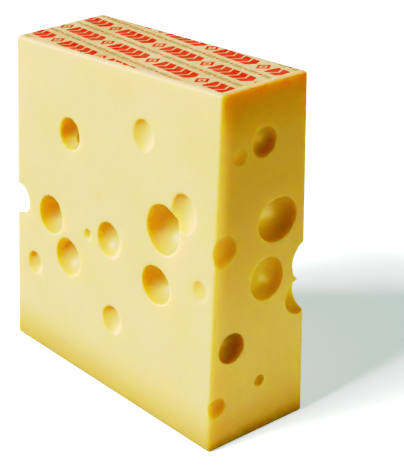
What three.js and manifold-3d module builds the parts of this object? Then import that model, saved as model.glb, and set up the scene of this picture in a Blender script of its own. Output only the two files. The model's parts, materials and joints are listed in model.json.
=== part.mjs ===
// A tall block of large-eyed hard cheese, cut upright out of a big wheel.
// The rind of the wheel's two flat sides is the block's top and bottom; the four
// upright sides are cut faces, and the round eyes in the paste open onto them.
// Millimetres, +Z up, origin at the centre of the base's outline.

import * as THREE from 'three';
import { RoundedBoxGeometry } from 'three/addons/geometries/RoundedBoxGeometry.js';
import { mergeVertices } from 'three/addons/utils/BufferGeometryUtils.js';
import Module from 'manifold-3d';

const wasm = await Module();
wasm.setup();

// ---- Driving dimensions ----

// Nominal size, used for the rounding of the edges.
const blockLength = 188;
const blockThickness = 71;
const blockHeight = 200;
const edgeRadius = 2.0;
const edgeSteps = 2;

// Each side is a plane: its place on its own axis at the origin, and how far it
// leans, in mm for each mm along the other axes. The wheel's side slopes, so the
// top is higher towards +X, and the cuts are a little out of square.
const sides = {
  front: { axis: 'y', at: -38.39, lean: { z: 0.0429 } },
  back: { axis: 'y', at: 35.69, lean: { x: -0.0291, z: -0.0158 } },
  right: { axis: 'x', at: 94.06, lean: { y: -0.0104, z: 0.0025 } },
  left: { axis: 'x', at: -93.46, lean: { y: -0.039, z: 0.0177 } },
  top: { axis: 'z', at: 199.14, lean: { x: 0.0574, y: 0.0117 } },
  bottom: { axis: 'z', at: 0, lean: {} },
};

// The direction that each cut face looks in, and the axis that its eyes are
// placed along besides z.
const faces = {
  front: { across: 'x', outward: -1 },
  back: { across: 'x', outward: 1 },
  right: { across: 'y', outward: 1 },
  left: { across: 'y', outward: -1 },
};

// Length of one facet's side on an eye's wall.
const eyeFacet = 3.6;
const eyeSidesLeast = 12;

// Eyes by the face they open onto: [across, up, rim radius, depth / rim radius,
// height / width]. An eye deeper than its rim radius is undercut.
const eyes = {
  front: [
    [-35.3, 147.6, 9.3, 1.3, 1],
    [32.0, 165.6, 9.0, 0.35, 1],
    [-54.4, 91.9, 11.5, 1.3, 1],
    [-17.6, 91.5, 3.2, 0.6, 1],
    [2.2, 95.1, 10.5, 0.8, 1],
    [50.4, 117.4, 13.6, 1.25, 1.04],
    [67.3, 132.2, 10.3, 0.35, 1.15],
    [-37.2, 70.5, 11.6, 0.95, 1],
    [-71.8, 54.7, 7.0, 0.6, 1],
    [45.3, 83.0, 12.0, 1.3, 0.92],
    [82.5, 92.6, 6.1, 0.2, 1],
    [5.9, 46.2, 8.7, 0.5, 1],
  ],
  right: [
    [-0.5, 172.7, 8.0, 1.1, 1],
    [-17.4, 168.4, 4.7, 0.4, 1],
    [10.1, 125.9, 13.7, 1.0, 0.91],
    [-27.9, 117.9, 8.6, 0.5, 1.09],
    [3.1, 93.1, 11.8, 0.7, 1.07],
    [-22.0, 59.4, 8.5, 1.5, 1],
    [-1.2, 32.0, 3.4, 1.0, 1],
    [-32.5, 26.0, 6.3, 0.5, 1],
  ],
  back: [
    [-62, 158, 10.5, 1.0, 1],
    [-30, 171, 5.2, 0.5, 1],
    [12, 150, 11.5, 1.15, 1],
    [48, 170, 7.5, 0.7, 1],
    [-72, 110, 7.8, 0.6, 1],
    [-24, 116, 10.2, 1.1, 1],
    [-9, 108, 8.0, 0.45, 1.1],
    [36, 112, 12.2, 1.2, 0.95],
    [60, 128, 4.0, 0.5, 1],
    [-52, 72, 11.0, 0.9, 1],
    [-18, 62, 6.0, 0.8, 1],
    [20, 74, 9.5, 0.7, 1],
    [56, 50, 8.8, 1.0, 1],
    [-78, 40, 5.5, 0.4, 1],
    [-30, 30, 7.6, 0.6, 1],
    [10, 28, 3.4, 0.9, 1],
  ],
  left: [
    [6, 160, 9.2, 1.1, 1],
    [-14, 138, 5.0, 0.5, 1],
    [14, 118, 7.5, 0.6, 1],
    [8, 78, 12.0, 0.9, 0.95],
    [-12, 50, 9.0, 1.2, 1],
    [16, 36, 6.4, 0.5, 1],
    [-4, 22, 3.2, 0.8, 1],
  ],
};

// Eyes that the cuts caught on an upright edge, so that each opens onto two
// faces: ball radius, and how far the ball's centre lies below the named face.
const edgeEyes = [
  { face: 'front', across: -87.1, up: 92.1, radius: 10.2, sunk: 4.0 },
  { face: 'right', across: 34.3, up: 95.4, radius: 13.8, sunk: 7.0 },
  { face: 'right', across: 27.8, up: 75.0, radius: 10.4, sunk: 0.2 },
];

// A small eye that opens only into the back of a larger one.
const innerEyes = [
  { face: 'front', across: -36.1, up: 147.9, radius: 5.5, sunk: 13.5 },
];

// ---- The uncut block ----

// A side as a plane with its normal pointing out of the block.
function sidePlane(side, outward) {
  const normal = new THREE.Vector3();
  normal[side.axis] = 1;
  for (const [axis, lean] of Object.entries(side.lean)) normal[axis] = -lean;
  const scale = outward / normal.length();
  return new THREE.Plane(normal.multiplyScalar(scale), -side.at * scale);
}

const planes = {
  left: sidePlane(sides.left, -1),
  right: sidePlane(sides.right, 1),
  front: sidePlane(sides.front, -1),
  back: sidePlane(sides.back, 1),
  bottom: sidePlane(sides.bottom, -1),
  top: sidePlane(sides.top, 1),
};

// The point where three planes meet.
function meet(a, b, c) {
  const bc = new THREE.Vector3().crossVectors(b.normal, c.normal);
  const ca = new THREE.Vector3().crossVectors(c.normal, a.normal);
  const ab = new THREE.Vector3().crossVectors(a.normal, b.normal);
  const volume = a.normal.dot(bc);
  return new THREE.Vector3()
    .addScaledVector(bc, -a.constant / volume)
    .addScaledVector(ca, -b.constant / volume)
    .addScaledVector(ab, -c.constant / volume);
}

// The eight corners as [left or right][front or back][bottom or top].
const corners = [planes.left, planes.right].map((endPlane) =>
  [planes.front, planes.back].map((longPlane) =>
    [planes.bottom, planes.top].map((levelPlane) => meet(endPlane, longPlane, levelPlane)),
  ),
);

// Moves a point of the unit cube to its place between the eight corners.
function betweenCorners(s, t, u) {
  const point = new THREE.Vector3();
  for (const i of [0, 1]) {
    for (const j of [0, 1]) {
      for (const k of [0, 1]) {
        const share = (i ? s : 1 - s) * (j ? t : 1 - t) * (k ? u : 1 - u);
        point.addScaledVector(corners[i][j][k], share);
      }
    }
  }
  return point;
}

function blockGeometry() {
  const geometry = new RoundedBoxGeometry(
    blockLength, blockThickness, blockHeight, edgeSteps, edgeRadius,
  );
  const position = geometry.attributes.position;
  for (let n = 0; n < position.count; n += 1) {
    const point = betweenCorners(
      position.getX(n) / blockLength + 0.5,
      position.getY(n) / blockThickness + 0.5,
      position.getZ(n) / blockHeight + 0.5,
    );
    position.setXYZ(n, point.x, point.y, point.z);
  }
  return geometry;
}

// ---- The eyes ----

// The point of a cut face at a place across it and a height up it.
function pointOnFace(name, across, up) {
  const { axis, at, lean } = sides[name];
  const point = new THREE.Vector3();
  point[faces[name].across] = across;
  point.z = up;
  point[axis] = at + (lean[faces[name].across] ?? 0) * across + (lean.z ?? 0) * up;
  return point;
}

// A ball whose centre lies the given depth below a cut face, with its poles
// along the face's normal.
function ballInFace(name, across, up, radius, sunk, tall = 1) {
  const round = Math.max(eyeSidesLeast, Math.round((2 * Math.PI * radius) / eyeFacet));
  const geometry = new THREE.SphereGeometry(radius, round, Math.ceil(round / 2));
  const normal = planes[name].normal;
  const turn = new THREE.Quaternion().setFromUnitVectors(new THREE.Vector3(0, 1, 0), normal);
  const centre = pointOnFace(name, across, up).addScaledVector(normal, -sunk);
  geometry.applyQuaternion(turn);
  geometry.scale(1, 1, tall);
  geometry.translate(centre.x, centre.y, centre.z);
  return geometry;
}

// An eye with the given radius at the face and the given depth below it.
function eyeGeometry(name, [across, up, rimRadius, depthShare, tall]) {
  const depth = rimRadius * depthShare;
  const radius = (rimRadius ** 2 + depth ** 2) / (2 * depth);
  return ballInFace(name, across, up, radius, depth - radius, tall);
}

// ---- Cutting ----

function toSolid(geometry) {
  geometry.deleteAttribute('normal');
  geometry.deleteAttribute('uv');
  const merged = mergeVertices(geometry, 1e-4);
  return new wasm.Manifold(new wasm.Mesh({
    numProp: 3,
    vertProperties: Float32Array.from(merged.attributes.position.array),
    triVerts: Uint32Array.from(merged.index.array),
  }));
}

function toGeometry(solid) {
  const { vertProperties, triVerts } = solid.getMesh();
  const geometry = new THREE.BufferGeometry();
  geometry.setAttribute('position', new THREE.BufferAttribute(vertProperties, 3));
  geometry.setIndex(new THREE.BufferAttribute(triVerts, 1));
  geometry.computeVertexNormals();
  return geometry;
}

function cheeseGeometry() {
  const cutters = [];
  for (const [name, list] of Object.entries(eyes)) {
    for (const eye of list) cutters.push(eyeGeometry(name, eye));
  }
  for (const { face, across, up, radius, sunk } of [...edgeEyes, ...innerEyes]) {
    cutters.push(ballInFace(face, across, up, radius, sunk));
  }
  let solid = toSolid(blockGeometry());
  for (const cutter of cutters) solid = solid.subtract(toSolid(cutter));
  return toGeometry(solid);
}

// ---- The part ----

const cheese = new THREE.Mesh(
  cheeseGeometry(),
  new THREE.MeshStandardMaterial({ color: '#e9dba1', roughness: 0.45, metalness: 0 }),
);
cheese.name = 'cheese_block';

const part = new THREE.Group();
part.add(cheese);

export default part;
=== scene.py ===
import json
import math

import bmesh
import bpy
from mathutils import Matrix, Vector, noise

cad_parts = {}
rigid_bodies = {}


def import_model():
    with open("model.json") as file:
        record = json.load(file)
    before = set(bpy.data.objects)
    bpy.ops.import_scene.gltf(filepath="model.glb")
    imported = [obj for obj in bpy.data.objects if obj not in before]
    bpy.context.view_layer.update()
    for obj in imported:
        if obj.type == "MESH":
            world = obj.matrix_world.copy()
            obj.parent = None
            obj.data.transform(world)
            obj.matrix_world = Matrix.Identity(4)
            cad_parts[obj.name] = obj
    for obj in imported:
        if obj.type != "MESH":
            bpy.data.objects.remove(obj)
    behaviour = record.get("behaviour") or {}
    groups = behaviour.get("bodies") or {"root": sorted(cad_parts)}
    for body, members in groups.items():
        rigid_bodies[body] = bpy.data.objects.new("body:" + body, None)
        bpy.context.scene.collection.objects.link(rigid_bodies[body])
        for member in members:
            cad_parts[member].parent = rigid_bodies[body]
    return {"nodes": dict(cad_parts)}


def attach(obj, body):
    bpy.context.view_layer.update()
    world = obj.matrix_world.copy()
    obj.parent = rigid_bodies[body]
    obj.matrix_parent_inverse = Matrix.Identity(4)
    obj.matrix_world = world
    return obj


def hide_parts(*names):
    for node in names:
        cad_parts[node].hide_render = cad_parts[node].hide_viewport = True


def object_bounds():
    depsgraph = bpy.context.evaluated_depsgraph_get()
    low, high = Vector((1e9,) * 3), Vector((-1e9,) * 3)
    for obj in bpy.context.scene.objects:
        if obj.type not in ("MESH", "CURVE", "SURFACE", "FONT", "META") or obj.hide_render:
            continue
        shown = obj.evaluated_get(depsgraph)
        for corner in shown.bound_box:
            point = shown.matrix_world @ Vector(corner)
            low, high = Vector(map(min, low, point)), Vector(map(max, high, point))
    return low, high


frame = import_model()
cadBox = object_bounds()
scene = bpy.context.scene
mm = 0.001  # every dictionary below is in millimetres unless it says otherwise

print("camera")
cameraSettings = {
    "place": (608.6, -477.4, 436.9),
    "looksAlong": (-0.69643, 0.58854, -0.41062),
    "lens": 112.446,
    "sensor": 36.0,
}


def makeCamera(s):
    data = bpy.data.cameras.new("camera")
    data.lens = s["lens"]
    data.sensor_width = s["sensor"]
    camera = bpy.data.objects.new("camera", data)
    scene.collection.objects.link(camera)
    camera.location = Vector(s["place"]) * mm
    camera.rotation_euler = Vector(s["looksAlong"]).to_track_quat("-Z", "Y").to_euler()
    scene.camera = camera


makeCamera(cameraSettings)


def newPiece(name, bm):
    mesh = bpy.data.meshes.new(name)
    bm.to_mesh(mesh)
    bm.free()
    obj = bpy.data.objects.new(name, mesh)
    scene.collection.objects.link(obj)
    return obj


def addModifier(obj, kind, **values):
    modifier = obj.modifiers.new(kind.lower(), kind)
    for key, value in values.items():
        setattr(modifier, key, value)


def bakeModifiers(obj):
    shape = obj.evaluated_get(bpy.context.evaluated_depsgraph_get())
    done = bpy.data.meshes.new_from_object(shape)
    obj.modifiers.clear()
    old, obj.data = obj.data, done
    bpy.data.meshes.remove(old)


def bevelEdges(bm, edges, width, segments):
    bmesh.ops.bevel(
        bm, geom=edges, offset=width, offset_type="OFFSET", segments=segments,
        profile=0.5, affect="EDGES", material=-1, clamp_overlap=True,
    )


# which way each side of the block looks
sideLooks = {
    "left": Vector((-1, 0, 0)),
    "right": Vector((1, 0, 0)),
    "front": Vector((0, -1, 0)),
    "back": Vector((0, 1, 0)),
    "base": Vector((0, 0, -1)),
    "top": Vector((0, 0, 1)),
}
leanLimit = 0.99  # cosine of the most that a side leans from its direction


def facesLooking(faces, looks):
    return [face for face in faces if face.normal.dot(looks) > leanLimit]


def readSide(mesh, looks):
    # the plane of one side, as its normal and its distance from the origin
    widest = max(facesLooking(mesh.polygons, looks), key=lambda face: face.area)
    normal = widest.normal.copy()
    return normal, normal.dot(widest.center)


block = frame["nodes"]["cheese_block"]
sides = {name: readSide(block.data, looks) for name, looks in sideLooks.items()}


def cornerOf(endSide, longSide, levelSide, sunk):
    # sunk moves the level side into the block
    picked = [sides[endSide], sides[longSide], sides[levelSide]]
    reach = [distance for _, distance in picked]
    reach[2] -= sunk
    return Matrix([normal for normal, _ in picked]).inverted() @ Vector(reach)


def pointUnderSide(name, across, up, sunk):
    # the point at one coordinate along a cut face and a height, sunk into the block
    normal, distance = sides[name]
    axis = 1 if name in ("front", "back") else 0
    point = Vector((0, 0, up * mm))
    point[1 - axis] = across * mm
    point[axis] = (distance - normal.dot(point)) / normal[axis]
    return point - normal * sunk * mm


print("cheese")
blockSettings = {
    "uprightEdge": 2.0,
    "topEdge": 1.7,
    "baseEdge": 1.3,
    "uprightSteps": 5,
    "levelSteps": 4,
    "uprightLeast": 100.0,  # an edge that climbs more than this is an upright one
    "rindFilm": 0.12,  # how far the rind stands above the paste
}

# Eyes by face: [across, up, rim radius, depth / rim radius, height / width], and
# where the hollow slants, how far it climbs for each mm that it goes in
eyes = {
    "front": [
        [-35.3, 147.6, 9.3, 1.3, 1],
        [32.0, 165.6, 9.0, 0.35, 1, 1.1],
        [-54.4, 91.9, 11.5, 1.3, 1],
        [-17.6, 91.5, 3.2, 0.8, 1, 0.4],
        [2.2, 95.1, 10.5, 0.8, 1, 0.15],
        [50.4, 117.4, 13.6, 1.25, 1.04],
        [67.3, 132.2, 10.3, 0.35, 1.15, 1.0],
        [-37.2, 70.5, 11.6, 0.95, 1, 0.1],
        [-71.8, 54.7, 7.0, 0.66, 1, 0.45],
        [45.3, 83.0, 12.0, 1.3, 0.92],
        [82.5, 92.6, 6.1, 0.24, 1, 1.9],
        [5.9, 46.2, 8.7, 0.5, 1, 0.5],
        [-6.5, 117.8, 4.0, 0.1, 1],
    ],
    "right": [
        [-0.5, 172.7, 8.0, 1.1, 1],
        [-17.4, 168.4, 4.7, 0.4, 1],
        [10.1, 125.9, 13.7, 1.0, 0.91],
        [-27.9, 117.9, 8.6, 0.5, 1.09],
        [3.1, 93.1, 11.8, 0.7, 1.07],
        [-22.0, 59.4, 8.5, 1.5, 1],
        [-1.2, 32.0, 3.4, 1.0, 1],
        [-32.5, 26.0, 6.3, 0.5, 1],
    ],
    "back": [
        [-62, 158, 10.5, 1.0, 1],
        [-30, 171, 5.2, 0.5, 1],
        [12, 150, 11.5, 1.15, 1],
        [48, 170, 7.5, 0.7, 1],
        [-72, 110, 7.8, 0.6, 1],
        [-24, 116, 10.2, 1.1, 1],
        [-9, 108, 8.0, 0.45, 1.1],
        [36, 112, 12.2, 1.2, 0.95],
        [60, 128, 4.0, 0.5, 1],
        [-52, 72, 11.0, 0.9, 1],
        [-18, 62, 6.0, 0.8, 1],
        [20, 74, 9.5, 0.7, 1],
        [56, 50, 8.8, 1.0, 1],
        [-78, 40, 5.5, 0.4, 1],
        [-30, 30, 7.6, 0.6, 1],
        [10, 28, 3.4, 0.9, 1],
    ],
    "left": [
        [6, 160, 9.2, 1.1, 1],
        [-14, 138, 5.0, 0.5, 1],
        [14, 118, 7.5, 0.6, 1],
        [8, 78, 12.0, 0.9, 0.95],
        [-12, 50, 9.0, 1.2, 1],
        [16, 36, 6.4, 0.5, 1],
        [-4, 22, 3.2, 0.8, 1],
    ],
}

# Eyes cut open on an upright edge, and one that opens into the back of another:
# face, across, up, ball radius, depth of the ball's centre, and the slant
looseEyes = [
    ("front", -87.1, 92.1, 10.2, 4.0, -0.35),
    ("right", 34.3, 95.4, 13.8, 7.0, 0),
    ("right", 27.8, 75.0, 10.4, 0.2, 0),
    ("front", -35.9, 142.8, 6.15, 13.6, 0),
]

eyeSettings = {
    "fineness": 5,  # icosphere subdivisions
    "unevenness": 0.018,  # share of the radius
    "lumpsAround": 1.1,
    "drift": 90.0,  # gives each eye its own stretch of the noise
}

meshSettings = {
    "voxel": 0.55,
    "smoothShare": 0.5,
    "smoothTimes": 5,
    "waveHeight": 0.12,
    "waveLength": 42.0,
    "waveDetail": 1,
    "mostTriangles": 186000,
}


def blockMesh(s):
    bm = bmesh.new()
    bmesh.ops.create_cube(bm, size=2)
    for vert in bm.verts:
        end = "right" if vert.co.x > 0 else "left"
        long = "back" if vert.co.y > 0 else "front"
        level = "top" if vert.co.z > 0 else "base"
        vert.co = cornerOf(end, long, level, s["rindFilm"] * mm)
    least = s["uprightLeast"] * mm
    upright = [e for e in bm.edges if abs((e.verts[0].co - e.verts[1].co).z) > least]
    bevelEdges(bm, upright, s["uprightEdge"] * mm, s["uprightSteps"])
    for name in ("top", "base"):
        level = facesLooking(bm.faces, sideLooks[name])
        around = list({e for f in level for e in f.edges})
        bevelEdges(bm, around, s[name + "Edge"] * mm, s["levelSteps"])
    return bm


def addEye(group, name, centre, radius, side, tall=1.0, slant=0.0):
    s = eyeSettings
    bm = bmesh.new()
    bmesh.ops.create_icosphere(bm, subdivisions=s["fineness"], radius=radius)
    drift = centre * s["drift"]
    for vert in bm.verts:
        lump = noise.noise(vert.co.normalized() * s["lumpsAround"] + drift)
        vert.co *= 1 + lump * s["unevenness"]
    bmesh.ops.scale(bm, verts=bm.verts, vec=(1, 1, tall))
    bmesh.ops.translate(bm, verts=bm.verts, vec=centre)
    normal, distance = sides[side]
    for vert in bm.verts:
        vert.co.z += slant * (distance - normal.dot(vert.co))
    ball = newPiece(name, bm)
    scene.collection.objects.unlink(ball)
    group.objects.link(ball)


def eyeCollection():
    group = bpy.data.collections.new("eyes")
    scene.collection.children.link(group)
    for side, rows in eyes.items():
        for n, (across, up, rim, depthShare, tall, *slant) in enumerate(rows):
            depth = rim * depthShare
            radius = (rim ** 2 + depth ** 2) / (2 * depth)
            centre = pointUnderSide(side, across, up, depth - radius)
            addEye(group, f"eye_{side}_{n}", centre, radius * mm, side, tall, *slant)
    for n, (side, across, up, radius, sunk, slant) in enumerate(looseEyes):
        centre = pointUnderSide(side, across, up, sunk)
        addEye(group, f"eye_loose_{n}", centre, radius * mm, side, slant=slant)
    return group


def removeGroup(group):
    for obj in list(group.objects):
        mesh = obj.data
        bpy.data.objects.remove(obj)
        bpy.data.meshes.remove(mesh)
    bpy.data.collections.remove(group)


def makeCheese(s):
    cheese = newPiece("cheese", blockMesh(blockSettings))
    group = eyeCollection()
    addModifier(
        cheese, "BOOLEAN", operation="DIFFERENCE", solver="MANIFOLD",
        operand_type="COLLECTION", collection=group,
    )
    bakeModifiers(cheese)
    removeGroup(group)
    print("  cut:", len(cheese.data.polygons), "faces")

    waves = bpy.data.textures.new("knifeWaves", "CLOUDS")
    waves.noise_scale = s["waveLength"] * mm
    waves.noise_depth = s["waveDetail"]
    addModifier(cheese, "REMESH", mode="VOXEL", voxel_size=s["voxel"] * mm)
    addModifier(cheese, "SMOOTH", factor=s["smoothShare"], iterations=s["smoothTimes"])
    addModifier(
        cheese, "DISPLACE", texture=waves, texture_coords="LOCAL",
        strength=s["waveHeight"] * mm, mid_level=1.0,
    )
    bakeModifiers(cheese)
    triangles = 2 * len(cheese.data.polygons)
    print("  fine:", triangles, "triangles")
    addModifier(cheese, "DECIMATE", ratio=min(1.0, s["mostTriangles"] / triangles))
    bakeModifiers(cheese)
    print("  kept:", len(cheese.data.polygons), "faces")

    low, high = cadBox
    for vert in cheese.data.vertices:  # nothing stands proud of the block's box
        vert.co = Vector(min(max(c, a), b) for c, a, b in zip(vert.co, low, high))
    cheese.data.shade_smooth()
    return cheese


cheese = makeCheese(meshSettings)

print("rind")
rindSettings = {
    "cells": (170, 70),  # along and across
    "above": 0.07,  # from the flat side of the block down to the film
    "below": 0.4,
    "inset": 0.9,  # from the cut faces
    "insetWave": 0.3,
    "waveLength": 9.0,
    "waveLayer": 7.0,  # the height at which the noise is read
}


def filmMesh(level, s):
    # a thin film let into the flat side, with an uneven rim
    bm = bmesh.new()
    bmesh.ops.create_grid(bm, x_segments=s["cells"][0], y_segments=s["cells"][1], size=0.5)
    corner = {
        (end, long): cornerOf(end, long, level, s["below"] * mm)
        for end in ("left", "right") for long in ("front", "back")
    }
    length = (corner["right", "front"] - corner["left", "front"]).length / mm
    depth = (corner["left", "back"] - corner["left", "front"]).length / mm
    for vert in bm.verts:
        u, v = vert.co.x + 0.5, vert.co.y + 0.5
        spot = Vector((u * length, v * depth, s["waveLayer"]))
        inset = s["inset"] + noise.noise(spot / s["waveLength"]) * s["insetWave"]
        x = (inset + u * (length - 2 * inset)) / length
        y = (inset + v * (depth - 2 * inset)) / depth
        near = corner["left", "front"].lerp(corner["right", "front"], x)
        far = corner["left", "back"].lerp(corner["right", "back"], x)
        vert.co = near.lerp(far, y)
    lifted = bmesh.ops.extrude_face_region(bm, geom=bm.faces[:])
    raised = [g for g in lifted["geom"] if isinstance(g, bmesh.types.BMVert)]
    thickness = (s["below"] - s["above"]) * mm
    bmesh.ops.translate(bm, verts=raised, vec=sides[level][0] * thickness)
    bmesh.ops.recalc_face_normals(bm, faces=bm.faces[:])
    return bm


rindPrint = newPiece("rind_print", filmMesh("top", rindSettings))
rindBase = newPiece("rind_base", filmMesh("base", rindSettings))
for film in (rindPrint, rindBase):
    film.visible_shadow = False  # the thin rim would darken the paste below it


def rgb(red, green, blue):
    return (red, green, blue, 1.0)


def newMaterial(name):
    material = bpy.data.materials.new(name)
    material.use_nodes = True
    tree = material.node_tree
    return material, tree, tree.nodes["Principled BSDF"]


def fill(tree, node, values):
    # each input gets a link from another node, or a plain value
    for key, value in values.items():
        if isinstance(value, bpy.types.NodeSocket):
            tree.links.new(value, node.inputs[key])
        else:
            node.inputs[key].default_value = value


def addNode(tree, kind, values=None, **settings):
    node = tree.nodes.new(kind)
    for key, value in settings.items():
        setattr(node, key, value)
    fill(tree, node, values or {})
    return node


def calc(tree, operation, *values):
    node = addNode(tree, "ShaderNodeMath", dict(enumerate(values)), operation=operation)
    return node.outputs[0]


def times(tree, first, second):
    return calc(tree, "MULTIPLY", first, second)


def ramp(tree, value, start, end):
    # 0 at start, 1 at end, eased between them
    node = addNode(
        tree, "ShaderNodeMapRange", {"Value": value, "From Min": start, "From Max": end},
        interpolation_type="SMOOTHSTEP",
    )
    return node.outputs["Result"]


def blend(tree, share, first, second):
    values = {0: share, 6: first, 7: second}  # places of the colour sockets
    return addNode(tree, "ShaderNodeMix", values, data_type="RGBA").outputs[2]


def startGroup(name, numbers, outs, outKind="NodeSocketFloat"):
    # a group reads a Vector and the named numbers
    tree = bpy.data.node_groups.new(name, "ShaderNodeTree")
    tree.interface.new_socket("Vector", in_out="INPUT", socket_type="NodeSocketVector")
    for label, value in numbers.items():
        socket = tree.interface.new_socket(label, in_out="INPUT", socket_type="NodeSocketFloat")
        socket.default_value = value
    for label in outs:
        tree.interface.new_socket(label, in_out="OUTPUT", socket_type=outKind)
    given = tree.nodes.new("NodeGroupInput").outputs
    return tree, given, tree.nodes.new("NodeGroupOutput")


def useGroup(tree, group, place, **values):
    node = tree.nodes.new("ShaderNodeGroup")
    node.node_tree = group
    fill(tree, node, {"Vector": place, **values})
    return node.outputs


def depthBelow(tree, place, name):
    # how far a point lies below one side of the block, in mm
    normal, distance = sides[name]
    along = addNode(
        tree, "ShaderNodeVectorMath", {0: place, 1: normal}, operation="DOT_PRODUCT",
    ).outputs["Value"]
    return calc(tree, "MULTIPLY_ADD", along, -1 / mm, distance / mm)


def makeSideDepthGroup():
    # depth below the nearest cut face, the front, the nearest end, the top and the base
    tree, given, out = startGroup("sideDepth", {}, ["Cut", "Front", "End", "Top", "Base"])
    depth = {name: depthBelow(tree, given["Vector"], name) for name in sides}
    long = calc(tree, "MINIMUM", depth["front"], depth["back"])
    end = calc(tree, "MINIMUM", depth["left"], depth["right"])
    fill(tree, out, {
        "Cut": calc(tree, "MINIMUM", long, end),
        "Front": depth["front"],
        "End": end,
        "Top": depth["top"],
        "Base": depth["base"],
    })
    return tree


mottleSettings = {
    "softDetail": 2.0,
    "fineDetail": 4.0,
    "fineTimes": 9.0,  # how much smaller the fine clouds are
    "range": (0.32, 0.68),
}


def makeMottleGroup(s):
    # soft cloudy mask with a finer one in it
    tree, given, out = startGroup("mottle", {"Scale": 30.0, "Fine": 0.3}, ["Mask"])
    soft = addNode(
        tree, "ShaderNodeTexNoise",
        {"Vector": given["Vector"], "Scale": given["Scale"], "Detail": s["softDetail"]},
    ).outputs["Fac"]
    fineScale = times(tree, given["Scale"], s["fineTimes"])
    fine = addNode(
        tree, "ShaderNodeTexNoise",
        {"Vector": given["Vector"], "Scale": fineScale, "Detail": s["fineDetail"]},
    ).outputs["Fac"]
    mixed = addNode(
        tree, "ShaderNodeMix", {0: given["Fine"], 2: soft, 3: fine}, data_type="FLOAT",
    ).outputs[0]
    fill(tree, out, {"Mask": ramp(tree, mixed, *s["range"])})
    return tree


grainSettings = {
    "detail": 5.0,
    "roughness": 0.6,
}


def makeGrainGroup(s):
    # the fine curd grain of a cut face, or the pits of a rind
    tree, given, out = startGroup(
        "grain", {"Scale": 600.0, "Strength": 0.2, "Height": 0.05}, ["Normal"], "NodeSocketVector",
    )
    grains = addNode(
        tree, "ShaderNodeTexNoise",
        {"Vector": given["Vector"], "Scale": given["Scale"], "Detail": s["detail"],
         "Roughness": s["roughness"]},
    ).outputs["Fac"]
    bump = addNode(
        tree, "ShaderNodeBump",
        {"Strength": given["Strength"], "Distance": times(tree, given["Height"], mm),
         "Height": grains},
    )
    fill(tree, out, {"Normal": bump.outputs["Normal"]})
    return tree


sideDepth = makeSideDepthGroup()
mottle = makeMottleGroup(mottleSettings)
grain = makeGrainGroup(grainSettings)

print("paste finish")
pasteSettings = {
    "pale": rgb(0.87, 0.765, 0.39),
    "warm": rgb(0.85, 0.725, 0.35),
    # the eyes' walls: partly their own waxier amber, partly painted shade in the hollows and on
    # their lips
    "eyeWallAndShade": rgb(0.845, 0.71, 0.28),
    "eyeDeep": rgb(0.86, 0.74, 0.395),
    # painted shade: the eyes of the ends are darker
    "endEyeShade": rgb(0.79, 0.67, 0.25),
    "longTop": rgb(0.80, 0.715, 0.375),
    "longBase": rgb(0.605, 0.455, 0.18),
    # painted shade: the ends are darker over all but their lowest part
    "endUpperShade": rgb(0.69, 0.615, 0.285),
    # the ends under the top rind and above the base: partly the paste's own darker colour, partly
    # painted shade
    "endTopAndShade": rgb(0.63, 0.485, 0.07),
    "endBaseAndShade": rgb(0.57, 0.36, 0.05),
    "smudge": rgb(0.78, 0.28, 0.04),  # ink drawn down from the rind
    "rim": rgb(0.66, 0.55, 0.385),  # the top edge beside the rind
    # depths below a side at which a colour starts and is full
    "eyeWallAndShadeZone": (0.05, 0.7),
    "eyeDeepZone": (0.8, 7.5),
    "endEyeShadeZone": (14.0, 9.0),  # below the end
    "endEyeShadeFront": (0.2, 1.2),  # and below the front
    "longTopZone": (16.0, 0),
    "longBaseZone": (32.0, 0),
    "endZone": (1.8, 0.3),
    "endUpperShadeZone": (165.0, 50.0),
    "endTopAndShadeZone": (34.0, 0),
    "endBaseAndShadeZone": (11.5, 0),
    # the ends' colours, painted shade among them, ease off towards the front edge
    "edgeGlow": (0.5, 9.0),  # the front edge stays lighter
    "smudgeZone": (9.0, 1.0),
    "rimZone": (1.3, 0.4),
    "moistZone": (2.5, 6.0),
    "zoneWander": 4.0,
    "longBaseOnEnd": 0.45,  # share of that colour on the ends
    "endAtFront": 0.7,  # share of the ends' colours beside the front edge
    "smudgeShare": 0.45,
    "smudgeSpots": (0.6, 0.9),  # where the spots' mask starts and is full
    "clouds": {"Scale": 26.0, "Fine": 0.35},
    "spots": {"Scale": 90.0, "Fine": 0.5},
    "grain": {"Scale": 700.0, "Strength": 0.25, "Height": 0.06},
    "scatterReach": 15.0,
    "scatterColour": (1.0, 0.50, 0.05),
    "roughCut": 0.46,
    "roughEye": 0.42,
    "roughCloud": 0.06,
    "ior": 1.42,
    "gloss": 0.12,
    "moist": 0.8,
    "moistRough": 0.36,
    "moistIor": 1.45,
}


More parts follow.
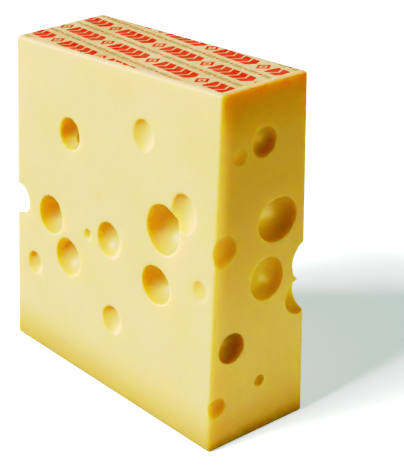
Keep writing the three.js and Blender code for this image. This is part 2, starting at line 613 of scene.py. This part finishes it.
def pasteColour(tree, s, depth, clouds, inEye, mask):
    colour = blend(tree, clouds, s["pale"], s["warm"])
    # the eye walls: their own colour with painted shade near the rims, then their own paler colour
    # deeper in
    colour = blend(tree, inEye, colour, s["eyeWallAndShade"])
    colour = blend(tree, ramp(tree, depth["Cut"], *s["eyeDeepZone"]), colour, s["eyeDeep"])
    # painted shade: the eyes of the ends are darker, up to the upright edges
    inEndEyeShade = times(tree, inEye, ramp(tree, depth["End"], *s["endEyeShadeZone"]))
    inEndEyeShade = times(tree, inEndEyeShade, ramp(tree, depth["Front"], *s["endEyeShadeFront"]))
    colour = blend(tree, inEndEyeShade, colour, s["endEyeShade"])

    wander = times(tree, clouds, s["zoneWander"])
    fromTop = calc(tree, "ADD", depth["Top"], wander)
    fromBase = calc(tree, "ADD", depth["Base"], wander)
    onEnd = ramp(tree, depth["End"], *s["endZone"])
    inward = ramp(tree, depth["Front"], *s["edgeGlow"])
    colour = blend(tree, ramp(tree, fromTop, *s["longTopZone"]), colour, s["longTop"])
    onLong = calc(tree, "MULTIPLY_ADD", onEnd, s["longBaseOnEnd"] - 1, 1)
    low = times(tree, ramp(tree, fromBase, *s["longBaseZone"]), onLong)
    colour = blend(tree, low, colour, s["longBase"])
    # painted shade: the ends darker above their lowest part, less so by the front edge
    upperShade = times(tree, ramp(tree, fromTop, *s["endUpperShadeZone"]), onEnd)
    colour = blend(tree, times(tree, upperShade, inward), colour, s["endUpperShade"])

    atFront = s["endAtFront"]
    onEnd = times(tree, onEnd, calc(tree, "MULTIPLY_ADD", inward, 1 - atFront, atFront))
    # the ends by the rinds: partly their own darker paste, partly painted shade
    for height, name in ((fromTop, "endTopAndShade"), (fromBase, "endBaseAndShade")):
        share = times(tree, ramp(tree, height, *s[name + "Zone"]), onEnd)
        colour = blend(tree, share, colour, s[name])
    smudged = times(tree, ramp(tree, mask, *s["smudgeSpots"]), onEnd)
    smudged = times(tree, smudged, ramp(tree, depth["Top"], *s["smudgeZone"]))
    colour = blend(tree, times(tree, smudged, s["smudgeShare"]), colour, s["smudge"])
    return blend(tree, ramp(tree, depth["Top"], *s["rimZone"]), colour, s["rim"])


def makePaste(s):
    material, tree, shader = newMaterial("cheesePaste")
    place = tree.nodes.new("ShaderNodeTexCoord").outputs["Object"]
    depth = useGroup(tree, sideDepth, place)
    clouds = useGroup(tree, mottle, place, **s["clouds"])["Mask"]
    spots = useGroup(tree, mottle, place, **s["spots"])["Mask"]
    inEye = ramp(tree, depth["Cut"], *s["eyeWallAndShadeZone"])
    rough = calc(tree, "MULTIPLY_ADD", inEye, s["roughEye"] - s["roughCut"], s["roughCut"])
    moist = ramp(tree, depth["Cut"], *s["moistZone"])  # the eyes' walls are moist
    fill(tree, shader, {
        "Base Color": pasteColour(tree, s, depth, clouds, inEye, spots),
        "Roughness": calc(tree, "MULTIPLY_ADD", clouds, s["roughCloud"], rough),
        "Normal": useGroup(tree, grain, place, **s["grain"])["Normal"],
        "Coat Weight": times(tree, moist, s["moist"]),
        "Coat Roughness": s["moistRough"],
        "Coat IOR": s["moistIor"],
        "Subsurface Weight": 1.0,
        "Subsurface Radius": s["scatterColour"],
        "Subsurface Scale": s["scatterReach"] * mm,
        "IOR": s["ior"],
        "Specular IOR Level": s["gloss"],
    })
    return material


print("rind finish")
printSettings = {
    "turn": 8.0,  # degrees
    "rowPitch": 19.0,
    "repeat": 50.0,  # along a row
    "barLength": 37.5,
    "barHeight": 10.0,
    "chevron": 7.5,
    "gap": 1.1,
    "lean": 0.7,  # of a chevron, along the row for each mm across
    "diamond": 5.2,
    "diamondHole": 2.6,
    "seed": 1.5,  # in the diamond's hole
    "dashPitch": 13.5,
    "dashLength": 9.5,
    "dashHeight": 3.4,
    "stripe": 1.5,
    "stripeGap": (0.075, 0.3),  # where a stripe's ink starts and is full
    "dot": 1.5,  # between two dashes
    "soft": 0.3,  # the ink's blurred rim
}


def makePrintGroup(s):
    # bars of chevrons laid like bricks, a diamond in each gap, striped dashes between the rows
    tree, given, out = startGroup("stampedRows", {}, ["Red", "Olive"])
    perMm = 1 / mm
    turned = addNode(
        tree, "ShaderNodeMapping",
        {"Vector": given["Vector"], "Rotation": (0, 0, math.radians(s["turn"])),
         "Scale": (perMm, perMm, perMm)},
    ).outputs[0]
    parts = addNode(tree, "ShaderNodeSeparateXYZ", {0: turned}).outputs
    along, across = parts["X"], parts["Y"]
    halfPitch = s["rowPitch"] / 2
    row = calc(tree, "FLOOR", calc(tree, "DIVIDE", across, s["rowPitch"]))
    inRow = calc(tree, "FLOORED_MODULO", across, s["rowPitch"])
    fromMiddle = calc(tree, "ABSOLUTE", calc(tree, "SUBTRACT", inRow, halfPitch))
    shifted = calc(tree, "MULTIPLY_ADD", row, s["repeat"] / 2, along)
    cell = calc(tree, "FLOORED_MODULO", shifted, s["repeat"])

    def below(value, high):
        return ramp(tree, value, high, high - s["soft"])

    def within(value, low, high):
        # 1 between low and high
        return times(tree, ramp(tree, value, low, low + s["soft"]), below(value, high))

    tip = calc(tree, "MULTIPLY_ADD", fromMiddle, s["lean"], cell)
    step = calc(tree, "FLOORED_MODULO", tip, s["chevron"])
    inBar = times(tree, below(fromMiddle, s["barHeight"] / 2), within(tip, 0, s["barLength"]))
    bar = times(tree, inBar, within(step, 0, s["chevron"] - s["gap"]))

    middle = (s["barLength"] + s["repeat"]) / 2 - s["lean"]
    aside = calc(tree, "ABSOLUTE", calc(tree, "SUBTRACT", cell, middle))
    spread = calc(tree, "ADD", aside, fromMiddle)
    diamond = within(spread, s["diamondHole"], s["diamond"])
    red = calc(tree, "MAXIMUM", diamond, below(spread, s["seed"]))
    red = calc(tree, "MAXIMUM", bar, red)

    fromLine = calc(tree, "SUBTRACT", halfPitch, fromMiddle)
    dash = calc(tree, "FLOORED_MODULO", along, s["dashPitch"])
    inDash = times(tree, below(fromLine, s["dashHeight"] / 2), within(dash, 0, s["dashLength"]))
    stripes = calc(tree, "PINGPONG", calc(tree, "ADD", along, across), s["stripe"] / 2)
    olive = times(tree, inDash, ramp(tree, stripes, *s["stripeGap"]))
    dotMiddle = (s["dashPitch"] + s["dashLength"]) / 2
    toDot = calc(tree, "ABSOLUTE", calc(tree, "SUBTRACT", dash, dotMiddle))
    dot = below(calc(tree, "ADD", toDot, fromLine), s["dot"])
    fill(tree, out, {"Red": calc(tree, "MAXIMUM", red, dot), "Olive": olive})
    return tree


stampedRows = makePrintGroup(printSettings)

rindFinish = {
    "ground": rgb(0.64, 0.525, 0.34),
    "groundPale": rgb(0.78, 0.70, 0.49),
    "red": rgb(0.70, 0.05, 0.045),
    "olive": rgb(0.26, 0.31, 0.15),
    "inkLeast": 0.78,  # where it is worn
    "inkWear": 0.2,
    "oliveShare": 0.95,
    "bareStrip": (4.0, 4.8),  # the ink stops short of the right end
    "fade": (1.1, 1.9),  # from the cut faces, where the rind starts and is full
    "fadeWave": 2.4,  # how much further in it may start
    "clouds": {"Scale": 34.0, "Fine": 0.45},
    "wear": {"Scale": 120.0, "Fine": 0.6},
    "rimWaves": {"Scale": 70.0, "Fine": 0.35},
    "grain": {"Scale": 420.0, "Strength": 0.5, "Height": 0.12},
    "rough": 0.5,
    "roughCloud": 0.1,
    "gloss": 0.35,
}


def inkColour(tree, s, place, colour):
    ink = useGroup(tree, stampedRows, place)
    worn = useGroup(tree, mottle, place, **s["wear"])["Mask"]
    cover = calc(tree, "MULTIPLY_ADD", worn, s["inkWear"], s["inkLeast"])
    cover = times(tree, cover, ramp(tree, depthBelow(tree, place, "right"), *s["bareStrip"]))
    faint = times(tree, cover, s["oliveShare"])
    colour = blend(tree, times(tree, ink["Olive"], faint), colour, s["olive"])
    return blend(tree, times(tree, ink["Red"], cover), colour, s["red"])


def makeRind(name, s, printed):
    material, tree, shader = newMaterial(name)
    place = tree.nodes.new("ShaderNodeTexCoord").outputs["Object"]
    clouds = useGroup(tree, mottle, place, **s["clouds"])["Mask"]
    colour = blend(tree, clouds, s["groundPale"], s["ground"])
    if printed:
        colour = inkColour(tree, s, place, colour)
    depth = useGroup(tree, sideDepth, place)
    wave = useGroup(tree, mottle, place, **s["rimWaves"])["Mask"]
    inside = calc(tree, "MULTIPLY_ADD", wave, -s["fadeWave"], depth["Cut"])
    fill(tree, shader, {
        "Base Color": colour,
        "Roughness": calc(tree, "MULTIPLY_ADD", clouds, s["roughCloud"], s["rough"]),
        "Normal": useGroup(tree, grain, place, **s["grain"])["Normal"],
        "Specular IOR Level": s["gloss"],
        "Alpha": ramp(tree, inside, *s["fade"]),  # the rind fades into the paste at its rim
    })
    return material


baseFinish = {
    **rindFinish,
    "ground": rgb(0.62, 0.40, 0.13),
    "groundPale": rgb(0.72, 0.52, 0.22),
}

cheese.data.materials.clear()
cheese.data.materials.append(makePaste(pasteSettings))
rindPrint.data.materials.append(makeRind("printedRind", rindFinish, True))
rindBase.data.materials.append(makeRind("plainRind", baseFinish, False))

print("studio")
lampColour = (1.0, 0.80, 0.725)
studioSettings = {
    "floorHalf": 3000.0,
    "floorDrop": 0.05,  # below the base
    "floorPaper": rgb(0.9, 0.9, 0.9),
    "floorBounce": rgb(0.125, 0.10, 0.09),  # what the block sees of the floor
    "floorShade": rgb(0.279, 0.339, 0.322),
    "airLight": 0.0,  # none: only the lamps and the floor light the block
}
# suns: the direction that each comes from, its strength, and its breadth in degrees
floorSuns = {
    "floorSun": {"from": (-0.07, -0.80, 0.60), "strength": 4.4, "angle": 20.0},
    "floorSunLeft": {"from": (-0.36, -0.71, 0.60), "strength": 4.4, "angle": 22.0},
}
cheeseSuns = {
    "key": {"from": (-0.21, -0.73, 0.65), "strength": 2.3, "angle": 30.0, "colour": lampColour},
    "topSun": {"from": (0.0, -0.1, 1.0), "strength": 0.35, "angle": 30.0, "colour": lampColour},
    "leftSun": {"from": (-0.93, -0.34, 0.17), "strength": 1.9, "angle": 25.0, "colour": lampColour},
    "farSun": {
        "from": (0.86, 0.5, 0.14), "strength": 0.44, "angle": 30.0, "colour": (1.0, 0.60, 0.04),
    },
    "backFill": {"from": (-0.3, 0.95, 0.05), "strength": 0.6, "angle": 40.0, "colour": lampColour},
    "endGlint": {
        "from": (0.95, -0.2, 0.12), "strength": 0.65, "angle": 14.0, "colour": (1.0, 0.78, 0.3),
        "glossOnly": True,  # for the glints in the eyes of the end
    },
}
glowSettings = {
    "place": (420.0, 60.0, 25.0),
    "aim": (94.0, 0.0, 50.0),
    "size": 200.0,
    "watts": 0.40,
    "colour": (1.0, 0.97, 0.74),
}


def placeLight(name, data, direction, group):
    # the light falls on the group's pieces alone
    light = bpy.data.objects.new(name, data)
    scene.collection.objects.link(light)
    light.rotation_euler = direction.to_track_quat("-Z", "Y").to_euler()
    light.light_linking.receiver_collection = group
    return light


def makeSun(name, s, group):
    data = bpy.data.lights.new(name, "SUN")
    data.energy = s["strength"]
    data.angle = math.radians(s["angle"])
    data.color = s.get("colour", (1, 1, 1))
    sun = placeLight(name, data, -Vector(s["from"]), group)
    sun.visible_diffuse = not s.get("glossOnly", False)


def makeGlow(name, s, group):
    data = bpy.data.lights.new(name, "AREA")
    data.energy = s["watts"]
    data.size = s["size"] * mm
    data.color = s["colour"]
    glow = placeLight(name, data, (Vector(s["aim"]) - Vector(s["place"])) * mm, group)
    glow.location = Vector(s["place"]) * mm


def makeFloor(s):
    bm = bmesh.new()
    bmesh.ops.create_grid(bm, x_segments=1, y_segments=1, size=s["floorHalf"] * mm)
    bmesh.ops.translate(bm, verts=bm.verts, vec=(0, 0, -s["floorDrop"] * mm))
    floor = newPiece("floor", bm)
    material, tree, _ = newMaterial("paleFloor")
    tree.nodes.clear()
    seen = tree.nodes.new("ShaderNodeLightPath").outputs["Is Camera Ray"]
    tone = blend(tree, seen, s["floorBounce"], s["floorPaper"])
    sheet = addNode(tree, "ShaderNodeBsdfDiffuse", {"Color": tone}).outputs[0]
    glow = {"Color": s["floorShade"], "Strength": 1.0}
    shade = addNode(tree, "ShaderNodeEmission", glow).outputs[0]
    nothing = addNode(tree, "ShaderNodeEmission", {"Strength": 0.0}).outputs[0]
    base = addNode(tree, "ShaderNodeMixShader", {0: seen, 1: nothing, 2: shade}).outputs[0]
    both = addNode(tree, "ShaderNodeAddShader", {0: sheet, 1: base}).outputs[0]
    addNode(tree, "ShaderNodeOutputMaterial", {"Surface": both})
    floor.data.materials.append(material)
    return floor


def makeWorld(s):
    world = bpy.data.worlds.new("studio")
    scene.world = world
    world.use_nodes = True
    tree = world.node_tree
    tree.nodes.clear()
    white = {"Color": rgb(1, 1, 1)}
    seen = tree.nodes.new("ShaderNodeLightPath").outputs["Is Camera Ray"]
    paper = addNode(tree, "ShaderNodeBackground", {**white, "Strength": 1.0}).outputs[0]
    air = addNode(tree, "ShaderNodeBackground", {**white, "Strength": s["airLight"]}).outputs[0]
    mixed = addNode(tree, "ShaderNodeMixShader", {0: seen, 1: air, 2: paper}).outputs[0]
    addNode(tree, "ShaderNodeOutputWorld", {"Surface": mixed})


floor = makeFloor(studioSettings)
makeWorld(studioSettings)
onCheese = bpy.data.collections.new("litCheese")
onFloor = bpy.data.collections.new("litFloor")
for piece in (cheese, rindPrint, rindBase):
    onCheese.objects.link(piece)
onFloor.objects.link(floor)
for name, sun in floorSuns.items():
    makeSun(name, sun, onFloor)
for name, sun in cheeseSuns.items():
    makeSun(name, sun, onCheese)
makeGlow("lowGlow", glowSettings, onCheese)

# picture contrast, as (light in, light out)
contrastSettings = [
    (0.03, 0.002), (0.05, 0.006), (0.08, 0.052), (0.123, 0.12), (0.185, 0.25), (0.277, 0.485),
    (0.369, 0.628), (0.492, 0.735), (0.65, 0.815), (0.8, 0.867),
]


def setContrast(points):
    view = scene.view_settings
    view.view_transform = "Standard"
    view.use_curve_mapping = True
    for light, out in points:
        view.curve_mapping.curves[3].points.new(light, out)
    view.curve_mapping.update()


setContrast(contrastSettings)

for piece, slot in (
    (cheese, "cheese_paste"), (rindPrint, "printed_rind"), (rindBase, "printed_rind"),
):
    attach(piece, "root")
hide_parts("cheese_block")
